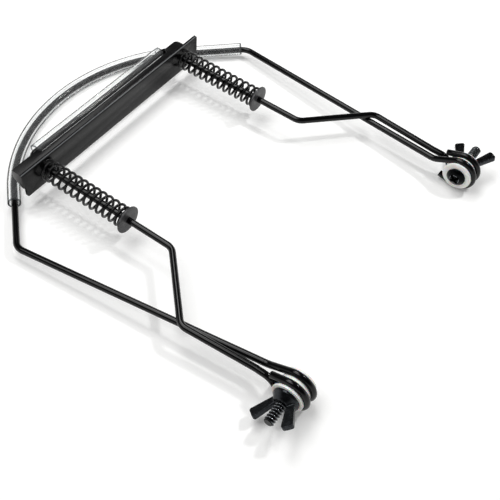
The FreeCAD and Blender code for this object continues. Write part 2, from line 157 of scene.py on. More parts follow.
def carried(line, leads, along, radii, sides):
    """Circles carried along a line, one for each distance and radius.

    Point a of a ring is c + r (s cos a + l sin a), where c lies on the line, s is the lead made
    square to the line's direction, and l is square to both.
    """
    ahead = np.gradient(line, axis=0)
    ahead /= np.linalg.norm(ahead, axis=1)[:, None]
    side = leads - ahead * np.sum(leads * ahead, axis=1)[:, None]
    side /= np.linalg.norm(side, axis=1)[:, None]
    lift = np.cross(ahead, side)
    centre, side, lift = (at_distances(line, values, along)[:, None] for values in (line, side, lift))
    turn = np.linspace(0, 2 * math.pi, sides, endpoint=False)[None, :, None]
    return centre + np.asarray(radii)[:, None, None] * (side * np.cos(turn) + lift * np.sin(turn))


same_place = 1e-7
sharp_angle = math.radians(38)


def mesh_piece(name, grid, material, body, nodes, looped=False):
    """One object from a grid of points whose rows close on themselves.

    Each grid cell is a quad. Rings of no radius merge into poles, faces turn outwards, and edges
    over the sharp angle stay sharp.
    """
    rows, columns = grid.shape[:2]
    i, j = np.meshgrid(np.arange(rows if looped else rows - 1), np.arange(columns), indexing="ij")
    i2, j2 = (i + 1) % rows, (j + 1) % columns
    quads = np.stack([i * columns + j, i * columns + j2, i2 * columns + j2, i2 * columns + j], -1)
    mesh = bpy.data.meshes.new(name)
    mesh.from_pydata(grid.reshape(-1, 3).tolist(), [], quads.reshape(-1, 4).tolist())
    cleaned = bmesh.new()
    cleaned.from_mesh(mesh)
    bmesh.ops.remove_doubles(cleaned, verts=cleaned.verts, dist=same_place)
    bmesh.ops.recalc_face_normals(cleaned, faces=cleaned.faces)
    cleaned.to_mesh(mesh)
    cleaned.free()
    mesh.shade_smooth()
    mesh.set_sharp_from_angle(angle=sharp_angle)
    mesh.materials.append(material)
    return rigged(bpy.data.objects.new(name, mesh), body, nodes)


def rigged(piece, body, nodes):
    """Put a piece in the scene, on its body and in place of its nodes."""
    bpy.context.scene.collection.objects.link(piece)
    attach(piece, body)
    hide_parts(*nodes)
    return piece


def wire_grid(line, leads, radius, end_round, sides):
    """Solid wire: from the middle of one cut face over its rounded edge to the other cut face."""
    known = distance(line)
    turn = np.linspace(0, math.pi / 2, wire_end_rings)
    lip = end_round * (1 - np.cos(turn))
    rim = radius - end_round * (1 - np.sin(turn))
    clear_of_lip = 1.2 * end_round
    inner = known[(known > clear_of_lip) & (known < known[-1] - clear_of_lip)]
    along = np.concatenate([[0], lip, inner, known[-1] - lip[::-1], known[-1:]])
    radii = np.concatenate([[0], rim, np.full(len(inner), radius), rim[::-1], [0]])
    return carried(line, leads, along, radii, sides)


def linear(hex_colour):
    """sRGB hex colour as linear red, green, blue and full alpha."""
    value = np.array([int(hex_colour[k:k + 2], 16) for k in (1, 3, 5)]) / 255.0
    curve = np.where(value <= 0.04045, value / 12.92, ((value + 0.055) / 1.055) ** 2.4)
    return (*[float(c) for c in curve], 1.0)


def add(material, kind, settings=None, **links):
    """Add one node with its settings; each link gives an input its value or a source socket.

    The setting stops gives a colour ramp its pairs of a place and a hex colour, and a link named
    n and a number goes to the input with that number.
    """
    tree = material.node_tree
    node = tree.nodes.new(kind)
    settings = dict(settings or {})
    stops = settings.pop("stops", [])
    ramp = node.color_ramp.elements if stops else []
    while len(ramp) < len(stops):
        ramp.new(0.5)
    for element, (place, colour) in zip(ramp, stops):
        element.position = place
        element.color = linear(colour)
    for key, value in settings.items():
        setattr(node, key, value)
    for key, value in links.items():
        socket = node.inputs[int(key[1:])] if key[1:].isdigit() else node.inputs[key.replace("_", " ")]
        if isinstance(value, bpy.types.NodeSocket):
            tree.links.new(value, socket)
        else:
            socket.default_value = value
    return node


def new_material(name):
    """An empty material that is built from nodes."""
    material = bpy.data.materials.new(name)
    material.use_nodes = True
    material.node_tree.nodes.clear()
    return material


def gloss_enamel(name, colour, thin_colour, roughness, peel_mm):
    """Stoved enamel on steel wire: levelled gloss with a faint orange peel, a trace of dust in
    the film, and a slightly greyer tone where it is thin."""
    material = new_material(name)
    place = add(material, "ShaderNodeTexCoord").outputs["Object"]
    peel = add(material, "ShaderNodeTexNoise", Vector=place, Scale=1 / (peel_mm * MM), Detail=2.0)
    dust = add(material, "ShaderNodeTexNoise", Vector=place, Scale=1 / (0.4 * MM), Detail=1.0)
    cloud = add(material, "ShaderNodeTexNoise", Vector=place, Scale=1 / (14.0 * MM), Detail=3.0)
    tone = add(material, "ShaderNodeValToRGB", {"stops": [(0.3, colour), (0.75, thin_colour)]},
               Fac=cloud.outputs[0])
    spread = add(material, "ShaderNodeMapRange", Value=dust.outputs[0], From_Min=0.3, From_Max=0.8,
                 To_Min=roughness * 0.9, To_Max=roughness * 1.2)
    bump = add(material, "ShaderNodeBump", Height=peel.outputs[0], Strength=0.04, Distance=0.05 * MM)
    surface = add(material, "ShaderNodeBsdfPrincipled", Base_Color=tone.outputs[0],
                  Roughness=spread.outputs[0], IOR=1.4, Specular_IOR_Level=0.38, Normal=bump.outputs[0])
    add(material, "ShaderNodeOutputMaterial", Surface=surface.outputs[0])
    return material


# Stoved black enamel: deep gloss that shows the room's light as one long thin streak
wire_enamel = gloss_enamel("stoved_black_enamel", "#020203", "#040405", 0.15, 1.3)


wire_sides = 28
crown_steps = 60


def yoke_half():
    """Right half of the yoke's centre line, in parts, from its tail to the crown's middle."""
    kink = np.array([yoke_eye_x, yoke_kink_along, arm_height])
    shoulder = np.array([shoulder_x, shoulder_along, arm_height])
    corner = np.array([0, crown_corner_along, arm_height])
    kink_reach = math.hypot(yoke_kink_along, arm_height)
    lead = math.atan2(arm_height, yoke_kink_along) + math.acos(eye_radius / kink_reach)
    loop = eye_arc(yoke_eye_x, yoke_eye_end, lead)
    tail = eye_tail_end(loop[0], loop[1])[None]
    kink_arc = corner_arc(loop[-1], kink, shoulder, kink_bend_radius)
    shoulder_arc = corner_arc(kink, shoulder, corner, shoulder_bend_radius)
    turn = np.linspace(shoulder_slope, 0, crown_steps)
    crown = np.stack([crown_radius * np.sin(turn), crown_centre_along + crown_radius * np.cos(turn),
                      np.full(crown_steps, arm_height)], 1)
    return tail, loop, kink_arc, shoulder_arc, crown


tail, loop, kink_arc, shoulder_arc, crown = yoke_half()
half = np.concatenate([tail, loop, kink_arc, shoulder_arc, crown])
yoke_line = filled(np.concatenate([mirrored(half), half[::-1][1:]]))
grid = wire_grid(yoke_line, wire_leads(yoke_line), wire_radius, wire_end_round, wire_sides)
mesh_piece("neck_yoke_wire", laid(grid, yoke_tilt), wire_enamel, "yoke", ["neck_yoke"])

# Crown sleeve: clear soft vinyl tube, 8 by 6 mm, pushed over the wire before the eyes were bent.
# It keeps the wire off the neck. The wire lies on the bottom of its bore.

sleeve_radius = sleeve_bore_radius + sleeve_wall
sleeve_offset = sleeve_bore_radius - wire_radius - sleeve_seat_gap
sleeve_lip = 0.25 * MM
sleeve_lip_rings = 5
cut_end_reach = sleeve_radius + 0.2 * sleeve_lip
neck_sleeve_left_inset = 11.8 * MM


def tube_grid(line, leads, sides=56):
    """Tube wall as one closed loop of rings: out along the outside and back along the bore."""
    known = distance(line)
    turn = np.linspace(0, math.pi / 2, sleeve_lip_rings)
    lip = sleeve_lip * (1 - np.cos(turn))
    rim = sleeve_radius - sleeve_lip * (1 - np.sin(turn))
    outer = np.concatenate([lip, known[1:-1], known[-1] - lip[::-1]])
    outer_radii = np.concatenate([rim, np.full(len(known) - 2, sleeve_radius), rim[::-1]])
    along = np.concatenate([outer, known[::-1]])
    radii = np.concatenate([outer_radii, np.full(len(known), sleeve_bore_radius)])
    return carried(line, leads, along, radii, sides)


def piece_points(piece):
    """Places of a piece's mesh points, one row for each."""
    points = np.empty(len(piece.data.vertices) * 3, dtype=np.float32)
    piece.data.vertices.foreach_get("co", points)
    return points.reshape(-1, 3)


def mark(piece, name, shares):
    """Point attribute of a piece, from one share for each of its points."""
    attribute = piece.data.attributes.new(name, "FLOAT", "POINT")
    attribute.data.foreach_set("value", shares.astype(np.float32))


def mark_cut_ends(tube, ends):
    """Share that is one on the points within reach of a cut end's centre, and zero elsewhere."""
    away = np.linalg.norm(piece_points(tube)[:, None] - ends[None], axis=2).min(axis=1)
    mark(tube, "cut_end", away < cut_end_reach)


def clear_vinyl_tube(name):
    """Plasticised PVC in a thin wall: light goes straight through it and greys where it runs along
    the wall, so the tube has thin grey outlines. A faint haze pales what lies inside it."""
    material = new_material(name)
    place = add(material, "ShaderNodeTexCoord").outputs["Object"]
    marks = add(material, "ShaderNodeTexNoise", Vector=place, Scale=1 / (5.0 * MM), Detail=4.0)
    facing = add(material, "ShaderNodeLayerWeight", Blend=0.5).outputs["Facing"]
    greying = [(0.0, "#ffffff"), (0.74, "#f8f9f9"), (0.9, "#b9bcbd"), (0.98, "#7d8082")]
    tint = add(material, "ShaderNodeValToRGB", {"stops": greying}, Fac=facing)
    # Cut ends are rough and seen along the wall, so they stand out as grey rings
    sawn = add(material, "ShaderNodeAttribute", {"attribute_name": "cut_end"}).outputs["Fac"]
    ring = add(material, "ShaderNodeMapRange", Value=sawn, From_Min=0.85, From_Max=0.95)
    blend = add(material, "ShaderNodeMix", {"data_type": "RGBA"}, Factor=ring.outputs[0],
                n6=tint.outputs[0], n7=linear("#8b8e90"))
    clear = add(material, "ShaderNodeBsdfTransparent", Color=blend.outputs[2])
    haze = add(material, "ShaderNodeMapRange", Value=marks.outputs[0], From_Min=0.3, From_Max=0.8,
               To_Min=0.03, To_Max=0.06)
    milk = add(material, "ShaderNodeBsdfDiffuse", Color=linear("#eceeef"))
    wall = add(material, "ShaderNodeMixShader", n0=haze.outputs[0], n1=clear.outputs[0],
               n2=milk.outputs[0])
    spread = add(material, "ShaderNodeMapRange", Value=marks.outputs[0], From_Min=0.35, From_Max=0.75,
                 To_Min=0.06, To_Max=0.16)
    gloss = add(material, "ShaderNodeBsdfGlossy", Color=linear("#ffffff"), Roughness=spread.outputs[0])
    share = add(material, "ShaderNodeFresnel", IOR=1.12)
    surface = add(material, "ShaderNodeMixShader", n0=share.outputs[0], n1=wall.outputs[0],
                  n2=gloss.outputs[0])
    add(material, "ShaderNodeOutputMaterial", Surface=surface.outputs[0])
    return material


# Clear soft PVC: almost unseen in front of white, with thin grey outlines and cut rings
clear_vinyl = clear_vinyl_tube("clear_plasticised_vinyl")
shoulder_mid = np.array([shoulder_x, shoulder_along, arm_height])
back = (shoulder_mid - crown[0]) / np.linalg.norm(shoulder_mid - crown[0])
left_end = crown[0] + back * neck_sleeve_left_inset
left_half = mirrored(np.concatenate([[left_end], crown]))
sleeve_line = filled(np.concatenate([left_half, crown[::-1][1:], shoulder_arc[-1:]]))
sleeve_line = sleeve_line + np.array([0, 0, sleeve_offset])
grid = tube_grid(sleeve_line, wire_leads(sleeve_line))
crown_sleeve = mesh_piece("crown_sleeve", laid(grid, yoke_tilt), clear_vinyl, "yoke", ["neck_sleeve"],
                          looped=True)
mark_cut_ends(crown_sleeve, laid(sleeve_line[[0, -1]], yoke_tilt))

# Clamp frame: the same enamelled wire, with an eye and tail at each end, a jog inwards on each
# leg and a straight bridge across the top, which the instrument is pressed against.

leg_height = 1.9 * MM
leg_drop_radius = 8.0 * MM
clamp_eye_x = 98.7 * MM
clamp_eye_end = math.radians(70.0)
clamp_kink_along = 22.0 * MM
outer_jog_x = 102.3 * MM
outer_jog_along = 67.7 * MM
inner_leg_x = 65.2 * MM
inner_jog_along = 103.2 * MM
jog_bend_radius = 8.0 * MM
bridge_along = 213.1 * MM
bridge_bend_radius = 5.5 * MM
drop_steps = 16
slide_axis = joints["plate_slide"]["axis"]
clamp_tilt = math.atan2(-slide_axis[2], -slide_axis[1])


def clamp_half():
    """Right half of the clamp frame's centre line, from its tail to the bridge's middle."""
    drop = leg_height - leg_drop_radius
    along = math.sqrt((eye_radius + leg_drop_radius) ** 2 - drop ** 2)
    lead = math.atan2(drop, along)
    loop = eye_arc(clamp_eye_x, clamp_eye_end - 2 * math.pi, lead)
    turn = np.linspace(math.pi + lead, math.pi / 2, drop_steps)
    fall = np.stack([np.full(drop_steps, clamp_eye_x), along + leg_drop_radius * np.cos(turn),
                     drop + leg_drop_radius * np.sin(turn)], 1)
    kink = [clamp_eye_x, clamp_kink_along, leg_height]
    outer_jog = [outer_jog_x, outer_jog_along, leg_height]
    inner_jog = [inner_leg_x, inner_jog_along, leg_height]
    corner = [inner_leg_x, bridge_along, leg_height]
    middle = [0, bridge_along, leg_height]
    return np.concatenate([
        eye_tail_end(loop[0], loop[1])[None], loop, fall,
        corner_arc(fall[-1], kink, outer_jog, kink_bend_radius),
        corner_arc(kink, outer_jog, inner_jog, jog_bend_radius),
        corner_arc(outer_jog, inner_jog, corner, jog_bend_radius),
        corner_arc(inner_jog, corner, middle, bridge_bend_radius),
        [middle],
    ])


half = clamp_half()
clamp_line = filled(np.concatenate([mirrored(half), half[::-1][1:]]))
grid = wire_grid(clamp_line, wire_leads(clamp_line), wire_radius, wire_end_round, wire_sides)
mesh_piece("clamp_frame_wire", laid(grid, clamp_tilt), wire_enamel, "clamp", ["clamp_frame"])

# Bridge sleeve: a shorter length of the same clear tube, cut to fit between the bridge's bends.
# It keeps the wire from marking the instrument.

bridge_sleeve_left = 59.1 * MM
bridge_sleeve_right = 59.7 * MM
bridge_steps = 40
x = np.linspace(-bridge_sleeve_left, bridge_sleeve_right, bridge_steps)
bridge_line = np.stack([x, np.full(bridge_steps, bridge_along + sleeve_offset),
                        np.full(bridge_steps, leg_height)], 1)
grid = tube_grid(bridge_line, wire_leads(bridge_line))
bridge_tube = mesh_piece("bridge_sleeve_tube", laid(grid, clamp_tilt), clear_vinyl, "clamp",
                         ["bridge_sleeve"], looped=True)
mark_cut_ends(bridge_tube, laid(bridge_line[[0, -1]], clamp_tilt))

# Clamp plate: 1.5 mm steel sheet, pierced, bent on a press brake and powder coated satin black.
# Its two holes run on the legs, and the springs press it towards the bridge.


def powder_coat(name, colour, lighter, painted_highlight_colour, grit_mm):
    """Satin powder coat: fine even grain that scatters the light, paler where it is thin, with a painted
    highlight where a face turns partway upwards.
    """
    material = new_material(name)
    coordinates = add(material, "ShaderNodeTexCoord").outputs
    place = coordinates["Object"]
    grit = add(material, "ShaderNodeTexNoise", Vector=place, Scale=1 / (grit_mm * MM), Detail=3.0)
    cloud = add(material, "ShaderNodeTexNoise", Vector=place, Scale=1 / (22.0 * MM), Detail=3.0)
    face = add(material, "ShaderNodeValToRGB", {"stops": [(0.3, colour), (0.8, lighter)]},
               Fac=cloud.outputs[0])
    # Painted highlight: bends and eased edges that turn partway upwards are painted paler, where a lamp
    # overhead would catch them
    up = add(material, "ShaderNodeSeparateXYZ", Vector=coordinates["Normal"]).outputs[2]
    smooth = {"interpolation_type": "SMOOTHSTEP"}
    highlight_rise = add(material, "ShaderNodeMapRange", smooth, Value=up, From_Min=0.48, From_Max=0.62)
    highlight_fall = add(material, "ShaderNodeMapRange", smooth, Value=up, From_Min=0.7, From_Max=0.84,
                    To_Min=1.0, To_Max=0.0)
    edge = add(material, "ShaderNodeMath", {"operation": "MULTIPLY"}, n0=highlight_rise.outputs[0],
               n1=highlight_fall.outputs[0])
    blend = add(material, "ShaderNodeMix", {"data_type": "RGBA"}, Factor=edge.outputs[0],
                n6=face.outputs[0], n7=linear(painted_highlight_colour))
    bump = add(material, "ShaderNodeBump", Height=grit.outputs[0], Strength=0.18, Distance=0.06 * MM)
    spread = add(material, "ShaderNodeMapRange", Value=grit.outputs[0], From_Min=0.3, From_Max=0.8,
                 To_Min=0.26, To_Max=0.36)
    surface = add(material, "ShaderNodeBsdfPrincipled", Base_Color=blend.outputs[2],
                  Roughness=spread.outputs[0], IOR=1.4, Specular_IOR_Level=0.3, Normal=bump.outputs[0])
    add(material, "ShaderNodeOutputMaterial", Surface=surface.outputs[0])
    return material


# Satin black polyester powder: dark and even; its pale last colour is a painted highlight where an edge
# turns to the light
plate_coat = powder_coat("satin_black_powder_coat", "#040405", "#080809", "#6f7173", 0.35)


solid_same_place = 2e-6
flat_angle = math.radians(1.0)


def merged_copy(node, name, material):
    """A copy of a solid's mesh with its loose triangles joined and its flat faces made whole."""
    mesh = frame["nodes"][node].data.copy()
    mesh.name = name
    joined = bmesh.new()
    joined.from_mesh(mesh)
    bmesh.ops.remove_doubles(joined, verts=joined.verts, dist=solid_same_place)
    bmesh.ops.dissolve_limit(joined, angle_limit=flat_angle, verts=joined.verts, edges=joined.edges)
    joined.to_mesh(mesh)
    joined.free()
    mesh.shade_smooth()
    mesh.materials.clear()
    mesh.materials.append(material)
    return mesh


plate_ease = 0.3 * MM
plate_ease_steps = 3
plate_sharp_angle = math.radians(30)
plate_mesh = merged_copy("clamp_plate", "pressed_clamp_plate", plate_coat)
plate = bpy.data.objects.new("pressed_clamp_plate", plate_mesh)
edge = plate.modifiers.new("eased edges", "BEVEL")
edge.width = plate_ease
edge.segments = plate_ease_steps
edge.limit_method = "ANGLE"
edge.angle_limit = plate_sharp_angle
edge.harden_normals = True
rigged(plate, "plate", ["clamp_plate"])

# Spring seats: discs stamped from 1 mm steel and pushed onto the inner legs, where they grip.
# They are coated a dull dark grey, and the springs stand on them.

seat_along = 135.0 * MM
seat_radius = 8.65 * MM
seat_thickness = 1.0 * MM
seat_bore_radius = 2.02 * MM
seat_ease = 0.15 * MM
seat_bore_ease = 0.05 * MM


def eased(corners, radii, count=5):
    """Closed profile of radius and height pairs, each corner replaced by an arc tangent to it."""
    corners = np.array([[r, 0, h] for r, h in corners])
    triples = zip(np.roll(corners, 1, 0), corners, np.roll(corners, -1, 0), radii)
    return np.concatenate([corner_arc(a, b, c, radius, count) for a, b, c, radius in triples])[:, ::2]


def turned(profile, sides=80):
    """Surface of revolution: profile point (r, h) goes round to (r cos a, r sin a, h)."""
    turn = np.linspace(0, 2 * math.pi, sides, endpoint=False)
    radius, height = profile[:, :1], profile[:, 1:]
    return np.stack([radius * np.cos(turn), radius * np.sin(turn), height + 0 * turn], -1)


# A coarser and paler coat than the plate's: it scatters the light, so the discs look dull
# Its last colour is the same painted highlight on edges that turn upwards
seat_coat = powder_coat("dull_grey_seat_coat", "#3a3a3b", "#424243", "#5a5a5b", 0.5)
seat_profile = eased([(seat_bore_radius, 0), (seat_radius, 0), (seat_radius, seat_thickness),
                      (seat_bore_radius, seat_thickness)],
                     [seat_bore_ease, seat_ease, seat_ease, seat_bore_ease])
for side, name in ((-1, "left"), (1, "right")):
    # The disc's own axis is laid along the leg: height becomes the distance from the pivot
    grid = turned(seat_profile) @ np.array([[1, 0, 0], [0, 0, -1], [0, 1, 0]])
    grid = grid + np.array([side * inner_leg_x, seat_along, leg_height])
    mesh_piece("stamped_spring_seat_" + name, laid(grid, clamp_tilt), seat_coat, "clamp",
               ["spring_seat_" + name], looped=True)

# Springs: open-wound compression springs of 1.7 mm wire with closed end turns, black enamelled.
# They stand loose round the legs between the seats and the plate.

spring_wire = 0.85 * MM
spring_radius = 6.9 * MM - spring_wire
spring_turns = 14
spring_end_turns = 0.75
spring_end_pitch = 2.3 * MM
seat_face_along = seat_along + seat_thickness
plate_inner_along = 199.4 * MM
spring_seat_gap = 0.1 * MM
spring_plate_gap = 0.3 * MM
spring_end_round = 0.2 * MM
spring_sides = 16
spring_room = plate_inner_along - seat_face_along - spring_seat_gap - spring_plate_gap
# Dipped enamel levels less well than stoved, so the coils' points of light are softer
spring_enamel = gloss_enamel("dipped_black_spring_enamel", "#040405", "#09090a", 0.18, 0.9)


def spring_line(samples=44):
    """Helix whose pitch is small in the end turns, grows over one turn and is steady between."""
    length = spring_room - 2 * spring_wire
    wide = (length - spring_end_pitch * spring_turns) / (spring_turns - 2 * spring_end_turns - 1)
    turn = np.linspace(0, spring_turns, spring_turns * samples + 1)

    def from_end(t):
        inside = np.clip(t - spring_end_turns, 0, 1)
        level = np.maximum(t - spring_end_turns - 1, 0)
        return spring_end_pitch * t + wide * (inside * inside / 2 + level)

    advance = np.where(turn <= spring_turns / 2, from_end(turn), length - from_end(spring_turns - turn))
    angle = 2 * math.pi * turn
    start = seat_face_along + spring_seat_gap + spring_wire
    return np.stack([-spring_radius * np.sin(angle), start + advance, spring_radius * np.cos(angle)], 1)


coil = spring_line()
# The crosswise direction points away from the spring's own axis
coil_grid = wire_grid(coil, coil * np.array([1, 0, 1]), spring_wire, spring_end_round, spring_sides)
for side, name in ((-1, "left"), (1, "right")):
    grid = coil_grid + np.array([side * inner_leg_x, 0, leg_height])
    spring = mesh_piece("wound_spring_" + name, laid(grid, clamp_tilt), spring_enamel, "clamp",
                        ["spring_" + name])
    # The spring's foot on the seat is worked out but not used; the plate closes the real coils up against
    # the seat as it is pressed down the legs, and these stay as wound
    foot = np.array([[side * inner_leg_x, seat_face_along + spring_seat_gap, leg_height]])
    foot = laid(foot, clamp_tilt)[0]
    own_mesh(spring)

# Washers: turned white nylon, one under the bolt's head, one between the eyes and one under
# the wing nut. The outer two have a shoulder that fills the wire's eye.

pivot_head_x = 89.0 * MM
outer_washer_thickness = 1.5 * MM
middle_washer_thickness = 2.0 * MM
washer_radius = 9.4 * MM
washer_ease = 0.3 * MM
washer_bore_radius = 3.05 * MM
washer_bore_ease = 0.1 * MM
washer_shoulder_radius = 7.55 * MM
shoulder_root_ease = 0.05 * MM
shoulder_ease = 0.2 * MM
middle_washer_x = 94.6 * MM
nut_washer_x = 100.75 * MM


def on_pivot(points, side, x):
    """Points drawn about a height axis, laid so that height runs outwards along the pivot."""
    across, along, height = np.moveaxis(points, -1, 0)
    return np.stack([side * (height + x), along, -side * across], -1) + pivot


def white_nylon(name):
    """Turned nylon: milky, slightly see-through, with the tool's fine grain. The real grain, about
    0.1 mm, wouldn't show, so it is drawn at 0.3 mm."""
    material = new_material(name)
    place = add(material, "ShaderNodeTexCoord").outputs["Object"]
    mottle = add(material, "ShaderNodeTexNoise", Vector=place, Scale=1 / (3.0 * MM), Detail=2.0)
    tone = add(material, "ShaderNodeValToRGB", {"stops": [(0.3, "#e9e8e4"), (0.8, "#f3f2ef")]},
               Fac=mottle.outputs[0])
    grain = add(material, "ShaderNodeTexNoise", Vector=place, Scale=1 / (0.3 * MM), Detail=2.0)
    bump = add(material, "ShaderNodeBump", Height=grain.outputs[0], Strength=0.1, Distance=0.04 * MM)
    surface = add(material, "ShaderNodeBsdfPrincipled", Base_Color=tone.outputs[0], Roughness=0.42,
                  IOR=1.53, Normal=bump.outputs[0], Subsurface_Weight=0.25, Subsurface_Scale=1.0 * MM)
    add(material, "ShaderNodeOutputMaterial", Surface=surface.outputs[0])
    return material


# Natural nylon: a soft white that glows a little at its edges and has dull highlights
nylon = white_nylon("turned_white_nylon")
flat_profile = eased([(washer_bore_radius, 0), (washer_radius, 0), (washer_radius, middle_washer_thickness),
                      (washer_bore_radius, middle_washer_thickness)],
                     [washer_bore_ease, washer_ease, washer_ease, washer_bore_ease])
shoulder_height = outer_washer_thickness + 2 * wire_radius
shouldered_profile = eased([(washer_bore_radius, 0), (washer_radius, 0),
                            (washer_radius, outer_washer_thickness),
                            (washer_shoulder_radius, outer_washer_thickness),
                            (washer_shoulder_radius, shoulder_height),
                            (washer_bore_radius, shoulder_height)],
                           [washer_bore_ease, washer_ease, washer_ease, shoulder_root_ease,
                            shoulder_ease, washer_bore_ease])
# The washer under the nut is the head's one turned round
facing_inwards = shouldered_profile * np.array([1, -1])
for side, name in ((-1, "left"), (1, "right")):
    for kind, profile, x in (("head_washer_", shouldered_profile, pivot_head_x),
                             ("middle_washer_", flat_profile, middle_washer_x),
                             ("nut_washer_", facing_inwards, nut_washer_x + outer_washer_thickness)):
        mesh_piece("nylon_" + kind + name, on_pivot(turned(profile), side, x), nylon, "yoke", [kind + name],
                   looped=True)

# Pivot bolts: pan-head machine screws, cold headed and rolled from steel wire and plated black.
# Each goes through three washers and two eyes with its head towards the neck.

bolt_radius = 3.0 * MM
bolt_length = 30.0 * MM
bolt_tip_chamfer = 0.6 * MM
head_radius = 6.0 * MM
head_height = 3.6 * MM
head_rim = 0.9 * MM
head_ease = 0.2 * MM
head_foot_ease = 0.1 * MM
head_rings = 60
ease_rings = 5
screw_sides = 96
recess_reach = 3.3 * MM
recess_half_width = 0.85 * MM
recess_depth = 2.2 * MM
recess_wall_run = 0.35 * MM
# The real thread's pitch is finer than the render can show, so it is drawn coarser
thread_pitch = 1.8 * MM
thread_depth = 0.75 * MM
thread_start = 0.8 * MM
thread_flat_share = 0.14
rings_per_pitch = 12
last_ring_gap = 0.02 * MM
shank_reach = 1.02 * bolt_radius


def screw_head(turn):
    """Radius and height of the head's rings: a sphere's cap, sunk in a cross, and a short rim.

    Inside the cross the surface drops by depth * (distance to its wall / wall run), at most by
    the whole depth, so that its walls slope as a driver's do.
    """
    dome = head_height - head_rim
    ball = (head_radius ** 2 + dome ** 2) / (2 * dome)
    radius = np.linspace(0, head_radius - head_ease, head_rings)[:, None] + 0 * turn
    height = ball - np.sqrt(ball ** 2 - radius ** 2) - head_height
    u = np.abs(radius * np.cos(turn + math.pi / 4))
    v = np.abs(radius * np.sin(turn + math.pi / 4))
    outside = np.minimum(np.maximum(u - recess_reach, v - recess_half_width),
                         np.maximum(v - recess_reach, u - recess_half_width))
    height = height + recess_depth * np.clip(-outside / recess_wall_run, 0, 1)
    ease = np.linspace(0, math.pi / 2, ease_rings)[:, None] + 0 * turn
    brow_radius = head_radius - head_ease * (1 - np.sin(ease))
    brow_height = -head_rim - head_ease * (np.cos(ease) - 1) - head_ease
    foot_radius = head_radius - head_foot_ease * (1 - np.cos(ease))
    foot_height = -head_foot_ease * (1 - np.sin(ease))
    return (np.concatenate([radius, brow_radius, foot_radius]),
            np.concatenate([height, brow_height, foot_height]))


def screw_thread(turn):
    """Radius and height of the shank's rings.

    The radius falls and rises once a pitch, by depth * |2 f - 1| with f the fraction of
    height / pitch - angle / full turn, cut off at the crest and the root and at the tip's cone.
    """
    height = np.arange(0, bolt_length, thread_pitch / rings_per_pitch)
    height = np.append(height[height < bolt_length - last_ring_gap], bolt_length)[:, None]
    wave = np.abs(2 * ((height / thread_pitch - turn / (2 * math.pi)) % 1.0) - 1)
    wave = np.clip((wave - thread_flat_share) / (1 - 2 * thread_flat_share), 0, 1)
    grown = np.clip((height - thread_start) / thread_pitch, 0, 1)
    radius = bolt_radius - thread_depth * wave * grown
    cone = bolt_radius - np.maximum(height - (bolt_length - bolt_tip_chamfer), 0)
    return np.minimum(radius, cone), height + 0 * turn


def black_zinc(name, colour, lighter, roughness):
    """Black zinc plating on steel: a dark satin metal with a cloudy passivated film over it. Its
    grain is drawn at 0.25 mm, which is coarser than the real one, so that it shows."""
    material = new_material(name)
    place = add(material, "ShaderNodeTexCoord").outputs["Object"]
    film = add(material, "ShaderNodeTexNoise", Vector=place, Scale=1 / (2.5 * MM), Detail=4.0)
    face = add(material, "ShaderNodeValToRGB", {"stops": [(0.3, colour), (0.75, lighter)]},
               Fac=film.outputs[0])
    # Painted highlight: a thread's crests get a brighter metal colour, standing in for the light they catch
    crest = add(material, "ShaderNodeAttribute", {"attribute_name": "thread_crest"}).outputs["Fac"]
    crest_highlight = add(material, "ShaderNodeMapRange", Value=crest, From_Min=0.6, From_Max=0.95)
    blend = add(material, "ShaderNodeMix", {"data_type": "RGBA"}, Factor=crest_highlight.outputs[0],
                n6=face.outputs[0], n7=linear("#7e8184"))
    spread = add(material, "ShaderNodeMapRange", Value=film.outputs[0], From_Min=0.3, From_Max=0.8,
                 To_Min=roughness * 0.85, To_Max=roughness * 1.25)
    grain = add(material, "ShaderNodeTexNoise", Vector=place, Scale=1 / (0.25 * MM), Detail=2.0)
    bump = add(material, "ShaderNodeBump", Height=grain.outputs[0], Strength=0.1, Distance=0.04 * MM)
    surface = add(material, "ShaderNodeBsdfPrincipled", Base_Color=blend.outputs[2],
                  Roughness=spread.outputs[0], Metallic=1.0, Normal=bump.outputs[0])
    add(material, "ShaderNodeOutputMaterial", Surface=surface.outputs[0])
    return material


def mark_crests(screw):
    """Share that grows from zero at the thread's root to one at its crest, by the distance from the
    screw's axis, and is zero on the head."""
    across = (piece_points(screw) - pivot)[:, 1:]
    away = np.hypot(across[:, 0], across[:, 1])
    share = np.clip((away - bolt_radius) / thread_depth + 1, 0, 1)
    share[away > shank_reach] = 0
    mark(screw, "thread_crest", share)


# Black zinc on rolled steel: near black, with a painted highlight as a thin bright line along each crest
screw_zinc = black_zinc("black_zinc_plated_screw_steel", "#0d0e0f", "#18191a", 0.24)
turn = np.linspace(0, 2 * math.pi, screw_sides, endpoint=False)[None, :]
head_r, head_h = screw_head(turn)
shank_r, shank_h = screw_thread(turn)
pole = np.zeros_like(turn)
radius = np.concatenate([head_r, shank_r, pole])
height = np.concatenate([head_h, shank_h, pole + bolt_length])
screw = np.stack([radius * np.cos(turn), radius * np.sin(turn), height], -1)
for side, name in ((-1, "left"), (1, "right")):
    bolt = mesh_piece("machine_screw_" + name, on_pivot(screw, side, pivot_head_x), screw_zinc, "yoke",
                      ["pivot_bolt_" + name])
    mark_crests(bolt)

# Wing nuts: cast in one piece, with soft fillets where the wings leave the hub, and plated black.
# They are turned by hand to tighten the pivots.

cast_grain = 0.25 * MM
cast_rounds = 5
